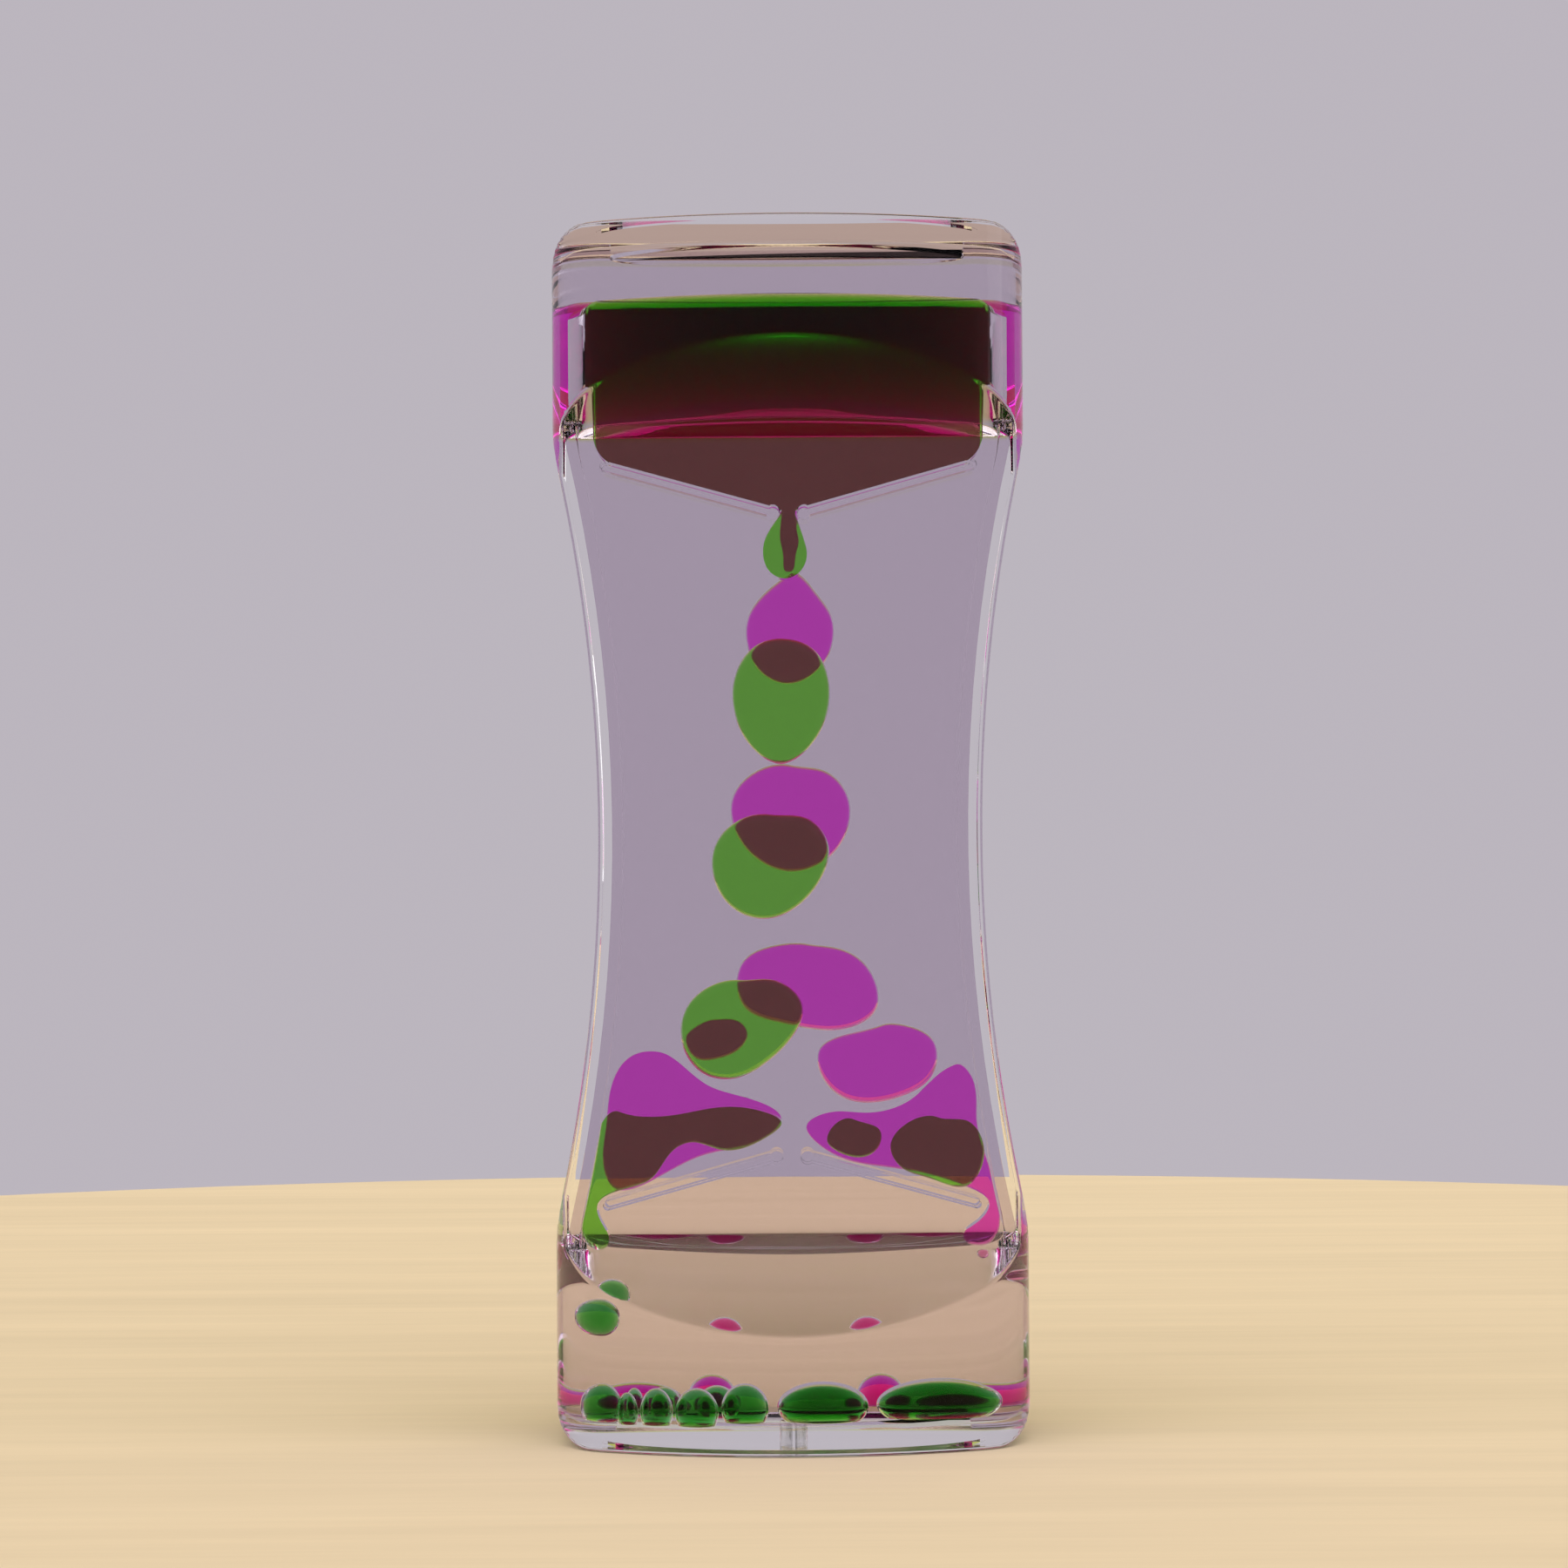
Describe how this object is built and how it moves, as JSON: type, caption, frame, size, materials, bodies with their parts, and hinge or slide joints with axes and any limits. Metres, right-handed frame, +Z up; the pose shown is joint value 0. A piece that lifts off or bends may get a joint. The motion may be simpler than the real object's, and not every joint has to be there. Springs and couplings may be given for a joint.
{
  "type": "liquid motion timer",
  "caption": "Clear hourglass-shaped liquid timer whose dyed drops fall through a neck between sloping baffles, in two sealed oil cells back to back.",
  "frame": {"origin": "centre of the base, on the surface that the timer stands on", "axes": "+Z up, +X to the right seen from the front, and the front face, with the green cell behind it, faces -Y"},
  "size_m": [0.05, 0.03, 0.128],
  "materials": {
    "body": "polished clear acrylic, water-white",
    "divider": "clear sheet with a faint grey-lavender tint",
    "plugs": "polished clear acrylic, bonded in",
    "baffles": "clear acrylic",
    "clear_oil": "clear light mineral oil",
    "green_liquid": "transparent green dyed water-based liquid",
    "magenta_liquid": "transparent magenta dyed water-based liquid"
  },
  "bodies": {
    "body": {"bottom_plug": "plugs", "divider_sheet": "divider", "front_clear_liquid": "clear_oil", "front_lower_left_baffle": "baffles", "front_lower_right_baffle": "baffles", "front_port_pin": "plugs", "front_shell": "body", "front_upper_left_baffle": "baffles", "front_upper_right_baffle": "baffles", "green_floor_beads": "green_liquid", "green_left_puddle": "green_liquid", "green_right_blobs": "green_liquid", "green_upper_pool": "green_liquid", "magenta_drop_3": "magenta_liquid", "magenta_drop_4": "magenta_liquid", "magenta_floor_beads": "magenta_liquid", "magenta_left_puddle": "magenta_liquid", "magenta_right_puddle": "magenta_liquid", "magenta_small_drop": "magenta_liquid", "magenta_tiny_droplet": "magenta_liquid", "magenta_upper_pool": "magenta_liquid", "rear_clear_liquid": "clear_oil", "rear_lower_left_baffle": "baffles", "rear_lower_right_baffle": "baffles", "rear_port_pin": "plugs", "rear_shell": "body", "rear_upper_left_baffle": "baffles", "rear_upper_right_baffle": "baffles", "top_plug": "plugs"},
    "green_drop_1": {"green_drop_1": "green_liquid"},
    "green_drop_2": {"green_drop_2": "green_liquid"},
    "green_drop_3": {"green_drop_3": "green_liquid"},
    "magenta_drop_1": {"magenta_drop_1": "magenta_liquid"},
    "magenta_drop_2": {"magenta_drop_2": "magenta_liquid"},
    "green_droplet": {"green_droplet": "green_liquid"}
  },
  "joints": [
    {"name": "green_drop_1_fall", "type": "slide", "parent": "body", "child": "green_drop_1", "axis": [0, 0, -1], "range_m": [-0.005, 0.007], "deforming": ["front_clear_liquid"]},
    {"name": "green_drop_2_fall", "type": "slide", "parent": "body", "child": "green_drop_2", "axis": [0, 0, -1], "range_m": [-0.0035, 0.0049], "deforming": ["front_clear_liquid"]},
    {"name": "green_drop_3_fall", "type": "slide", "parent": "body", "child": "green_drop_3", "axis": [0, 0, -1], "range_m": [-0.00175, 0.00245], "deforming": ["front_clear_liquid"]},
    {"name": "magenta_drop_1_fall", "type": "slide", "parent": "body", "child": "magenta_drop_1", "axis": [0, 0, -1], "range_m": [0, 0.012], "deforming": ["rear_clear_liquid"]},
    {"name": "magenta_drop_2_fall", "type": "slide", "parent": "body", "child": "magenta_drop_2", "axis": [0, 0, -1], "range_m": [0, 0.006], "deforming": ["rear_clear_liquid"]},
    {"name": "green_droplet_fall", "type": "slide", "parent": "body", "child": "green_droplet", "axis": [0, 0, -1], "range_m": [0, 0.0044], "deforming": ["front_clear_liquid"]}
  ],
  "couplings": [
    {"joint": "green_drop_2_fall", "follows": "green_drop_1_fall", "ratio": 0.7},
    {"joint": "green_drop_3_fall", "follows": "green_drop_1_fall", "ratio": 0.35},
    {"joint": "magenta_drop_2_fall", "follows": "magenta_drop_1_fall", "ratio": 0.5}
  ]
}
